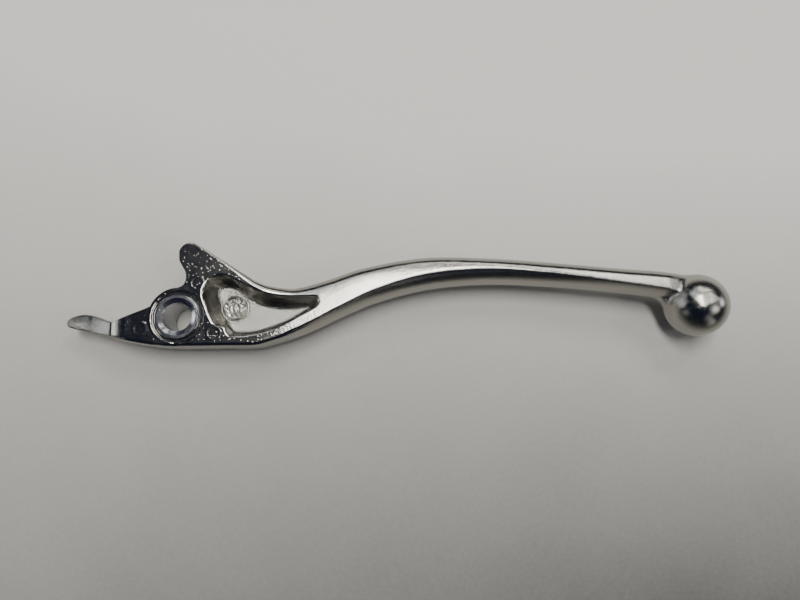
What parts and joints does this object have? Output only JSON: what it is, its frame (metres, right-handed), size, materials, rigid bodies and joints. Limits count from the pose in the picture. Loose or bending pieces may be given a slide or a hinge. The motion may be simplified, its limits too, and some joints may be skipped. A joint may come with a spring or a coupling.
{
  "type": "motorcycle clutch lever",
  "caption": "Hydraulic clutch lever: a cast head with pivot, piston arm and switch tongue, a curved blade with a ball end, and a pivot sleeve it swings on.",
  "frame": {"origin": "pivot axis, half way through the head's thickness", "axes": "+Z along the pivot axis towards the pocketed face, +X from the pivot to the centre of the ball end, +Y towards the grip"},
  "size_m": [0.1904, 0.0307, 0.018],
  "materials": {
    "polished_aluminium": "cast aluminium, polished, with fine scratches and small pits",
    "sleeve_steel": "turned steel, lightly burnished"
  },
  "bodies": {
    "pivot_sleeve": {"pivot_sleeve": "sleeve_steel"},
    "lever": {"lever_casting": "polished_aluminium"}
  },
  "joints": [
    {"name": "lever_swing", "type": "hinge", "parent": "pivot_sleeve", "child": "lever", "pos_m": [0, 0, 0], "axis": [0, 0, 1], "range_deg": [0, 22]}
  ]
}
